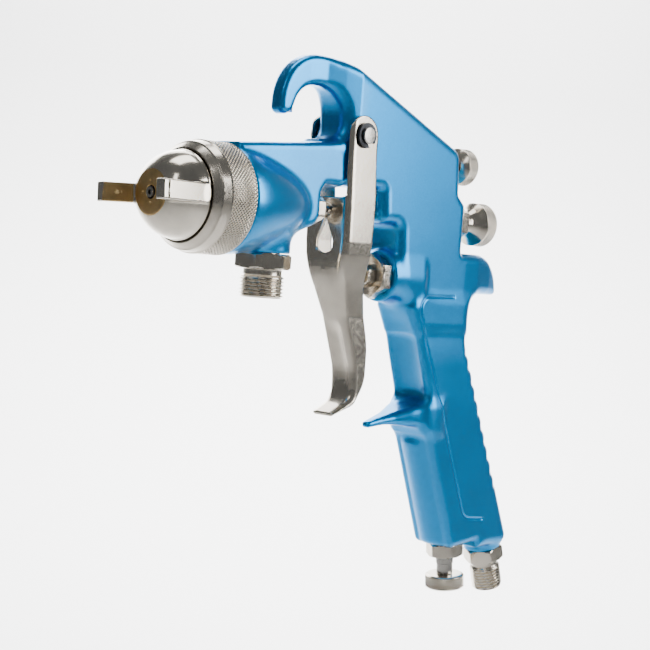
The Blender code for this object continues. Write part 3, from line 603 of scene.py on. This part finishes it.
def noise(tree, scale, detail=4.0, stretch=(1, 1, 1)):
    """Noise in the object's own space; scale is in cycles per metre."""
    place = tree.nodes.new("ShaderNodeTexCoord")
    fit = tree.nodes.new("ShaderNodeMapping")
    fit.inputs["Scale"].default_value = stretch
    made = tree.nodes.new("ShaderNodeTexNoise")
    made.inputs["Scale"].default_value = scale
    made.inputs["Detail"].default_value = detail
    link(tree, place.outputs["Object"], fit.inputs["Vector"])
    link(tree, fit.outputs["Vector"], made.inputs["Vector"])
    return made.outputs["Fac"]


def to_range(tree, value, low, high, from_low=0.3, from_high=0.7):
    made = tree.nodes.new("ShaderNodeMapRange")
    made.inputs["From Min"].default_value = from_low
    made.inputs["From Max"].default_value = from_high
    made.inputs["To Min"].default_value = low
    made.inputs["To Max"].default_value = high
    link(tree, value, made.inputs["Value"])
    return made.outputs["Result"]


def mix_colour(tree, amount, first, second):
    made = tree.nodes.new("ShaderNodeMix")
    made.data_type = "RGBA"
    made.inputs["A"].default_value = (*first, 1)
    made.inputs["B"].default_value = (*second, 1)
    link(tree, amount, made.inputs["Factor"])
    return made.outputs["Result"]


def bump(tree, surface, height, strength, distance):
    made = tree.nodes.new("ShaderNodeBump")
    made.inputs["Strength"].default_value = strength
    made.inputs["Distance"].default_value = distance
    link(tree, height, made.inputs["Height"])
    link(tree, made.outputs["Normal"], surface.inputs["Normal"])


def blue_lacquer():
    """Clear coated metallic blue: fine flake under a glossy coat."""
    made, tree, surface = shader("blue_lacquer_look", (0.0, 0.31, 0.74), 0.85, 0.3)
    surface.inputs["Coat Weight"].default_value = 0.35
    surface.inputs["Coat Roughness"].default_value = 0.05
    flakes = noise(tree, 3200, 2)
    tone = mix_colour(tree, to_range(tree, flakes, 0, 1), (0.0, 0.27, 0.68), (0.0, 0.35, 0.80))
    link(tree, tone, surface.inputs["Base Color"])
    link(tree, to_range(tree, noise(tree, 60, 4), 0.28, 0.33), surface.inputs["Roughness"])
    bump(tree, surface, noise(tree, 1400, 2), 0.03, 0.0001)
    return made


def polished(name, colour, dark, roughness, scratch=1.0):
    """Plated or machined metal: uneven tarnish, fine scratches and a slightly wavy surface."""
    made, tree, surface = shader(name, colour, 1.0, roughness)
    stain = noise(tree, 140, 6)
    tone = mix_colour(tree, to_range(tree, stain, 0, 1), dark, colour)
    link(tree, tone, surface.inputs["Base Color"])
    fine = noise(tree, 900, 5, (1, 7, 1))
    grain = to_range(tree, fine, roughness * 0.75, roughness * 1.35)
    link(tree, grain, surface.inputs["Roughness"])
    bump(tree, surface, noise(tree, 700, 4, (1, 5, 1)), 0.12 * scratch, 0.0001)
    return made


def plain(name, colour, roughness):
    made, tree, surface = shader(name, colour, 0.0, roughness)
    shade = tuple(0.8 * c for c in colour)
    link(tree, mix_colour(tree, to_range(tree, noise(tree, 300), 0, 1), shade, colour),
         surface.inputs["Base Color"])
    bump(tree, surface, noise(tree, 1500, 3), 0.2, 0.0001)
    return made


def cap_metal(nickel_colour, brass_colour):
    """Nickel plate with machined brass on the nozzle face and on the inner faces of the horns."""
    made, tree, surface = shader("cap_look", nickel_colour, 1.0, 0.16)
    place = tree.nodes.new("ShaderNodeTexCoord")
    split = tree.nodes.new("ShaderNodeSeparateXYZ")
    link(tree, place.outputs["Object"], split.inputs["Vector"])

    def maths(kind, first, second):
        step = tree.nodes.new("ShaderNodeMath")
        step.operation = kind
        for socket, value in zip(step.inputs, (first, second)):
            if isinstance(value, (int, float)):
                socket.default_value = value
            else:
                link(tree, value, socket)
        return step.outputs["Value"]

    x = maths("ADD", maths("MULTIPLY", split.outputs["X"], 1 / MM), float(SADDLE[0]))
    y = maths("ABSOLUTE", maths("MULTIPLY", split.outputs["Y"], 1 / MM), 0.0)
    face = maths("LESS_THAN", x, 0.22)
    # Across the horn's inner face: it runs from (2.4, 8.6) to (-9.2, 13.7)
    inner = maths("ADD", y, maths("MULTIPLY", x, 5.1 / 11.6))
    near_inner = maths("LESS_THAN", inner, 8.6 + 2.4 * 5.1 / 11.6 + 0.3)
    brass = maths("MULTIPLY", face, near_inner)
    stain = noise(tree, 160, 5)
    pale = mix_colour(tree, to_range(tree, stain, 0, 1), tuple(0.82 * c for c in nickel_colour),
                      nickel_colour)
    gold = mix_colour(tree, to_range(tree, stain, 0, 1), tuple(0.8 * c for c in brass_colour),
                      brass_colour)
    blend = tree.nodes.new("ShaderNodeMix")
    blend.data_type = "RGBA"
    link(tree, brass, blend.inputs["Factor"])
    link(tree, pale, blend.inputs["A"])
    link(tree, gold, blend.inputs["B"])
    link(tree, blend.outputs["Result"], surface.inputs["Base Color"])
    link(tree, to_range(tree, brass, 0.15, 0.3, 0, 1), surface.inputs["Roughness"])
    bump(tree, surface, noise(tree, 800, 4, (6, 1, 1)), 0.08, 0.0001)
    return made


# ---------------------------------------------------------------- stage

def make_stage():
    """Pale floor that sweeps up into a backdrop."""
    floor_z = -0.6  # low enough to look up at the gun from below
    bm = bmesh.new()
    path = [(-3.0, floor_z), (1.2, floor_z)]
    path += [(1.2 + 0.8 * math.sin(a), floor_z + 0.8 - 0.8 * math.cos(a))
             for a in (math.radians(10 * k) for k in range(1, 10))]
    path += [(2.0, 3.5)]
    rows = [[bm.verts.new((u, w, z)) for u, z in path] for w in (-4.0, 4.0)]
    for k in range(len(path) - 1):
        bm.faces.new((rows[0][k], rows[0][k + 1], rows[1][k + 1], rows[1][k]))
    data = bpy.data.meshes.new("backdrop")
    bm.to_mesh(data)
    bm.free()
    data.shade_smooth()
    backdrop = bpy.data.objects.new("backdrop", data)
    backdrop.rotation_euler = (0, 0, math.radians(43.2))
    bpy.context.scene.collection.objects.link(backdrop)
    made, tree, surface = shader("backdrop_look", (0.93, 0.93, 0.93), 0.0, 0.7)
    link(tree, to_range(tree, noise(tree, 40), 0.65, 0.75), surface.inputs["Roughness"])
    data.materials.append(made)


def area_light(name, position, target, size, power, spread=180):
    data = bpy.data.lights.new(name, "AREA")
    data.shape = "RECTANGLE"
    data.size, data.size_y = size
    data.energy = power
    data.spread = math.radians(spread)
    lamp = bpy.data.objects.new(name, data)
    lamp.location = position
    lamp.rotation_mode = "QUATERNION"
    lamp.rotation_quaternion = (Vector(target) - Vector(position)).to_track_quat("-Z", "Y")
    bpy.context.scene.collection.objects.link(lamp)


def make_lights():
    world = bpy.data.worlds.new("studio")
    bpy.context.scene.world = world
    world.use_nodes = True
    backing = world.node_tree.nodes["Background"]
    backing.inputs["Color"].default_value = (0.92, 0.96, 1.0, 1)
    backing.inputs["Strength"].default_value = 0.14
    centre = (0.05, 0, -0.06)
    area_light("key", (0.45, -0.7, 0.22), centre, (0.5, 0.6), 6.5)
    area_light("top", (0.05, 0.1, 0.65), centre, (0.5, 0.3), 2.2)
    area_light("strip", (-0.95, -0.5, 0.75), centre, (0.14, 0.6), 1.2)
    area_light("far_side", (0.25, 0.7, 0.25), centre, (0.5, 0.4), 4)
    area_light("backdrop_wash", (0.9, 0.8, 1.9), (1.5, 1.4, 0.0), (1.6, 1.6), 110, 80)


def make_camera():
    azimuth, pitch, roll = math.radians(46.84), math.radians(2.43), math.radians(4.27)
    data = bpy.data.cameras.new("camera")
    data.sensor_width = 36.0
    data.lens = 94.15
    data.clip_start = 0.01
    camera = bpy.data.objects.new("camera", data)
    camera.location = (-0.46635, -0.45418, -0.06305)
    turn = Matrix.Rotation(-azimuth, 3, "Z") @ Matrix.Rotation(math.pi / 2 - pitch, 3, "X")
    camera.rotation_euler = (turn @ Matrix.Rotation(roll, 3, "Z")).to_euler()
    bpy.context.scene.collection.objects.link(camera)
    bpy.context.scene.camera = camera


# ---------------------------------------------------------------- assembly

NICKEL = (0.76, 0.70, 0.60)
BRASS = (0.83, 0.58, 0.27)

blue = blue_lacquer()
nickel = polished("nickel_look", NICKEL, (0.66, 0.60, 0.51), 0.19)
steel = polished("steel_look", (0.60, 0.58, 0.54), (0.46, 0.44, 0.41), 0.22)
dark = polished("black_steel_look", (0.07, 0.075, 0.08), (0.03, 0.03, 0.035), 0.35)
wire = polished("wire_look", (0.5, 0.5, 0.49), (0.36, 0.36, 0.35), 0.3)
brass = polished("brass_look", BRASS, (0.62, 0.41, 0.18), 0.24)
white = plain("ptfe_look", (0.86, 0.86, 0.84), 0.45)
black = plain("rubber_look", (0.03, 0.03, 0.03), 0.6)
cap = cap_metal(NICKEL, BRASS)

LOOKS = {"blue_lacquer": blue, "nickel_plate": nickel, "stainless_steel": steel,
         "black_steel": dark,
         "spring_steel": wire, "brass": brass, "ptfe": white, "rubber": black}
for entry in frame["record"]["subparts"]:
    item = frame["nodes"][entry["node"]]
    item.data.materials.clear()
    item.data.materials.append(LOOKS[entry["material_slot"]])
    item.data.shade_smooth()
    item.data.set_sharp_from_angle(angle=math.radians(35))

sculpted("body", "gun_body", "frame", body_field, 0.75, blue,
         lambda x, y, z: (path_distance(x, z, PANEL) < 1.6) & (np.abs(y) > 8))
sculpted("trigger_pressing", "trigger", "trigger", trigger_field, 0.5, nickel)
sculpted("cap_machined", "air_cap", "cap", cap_field, 0.36, cap)
make_turned_pieces(nickel, steel)

make_stage()
make_lights()
make_camera()
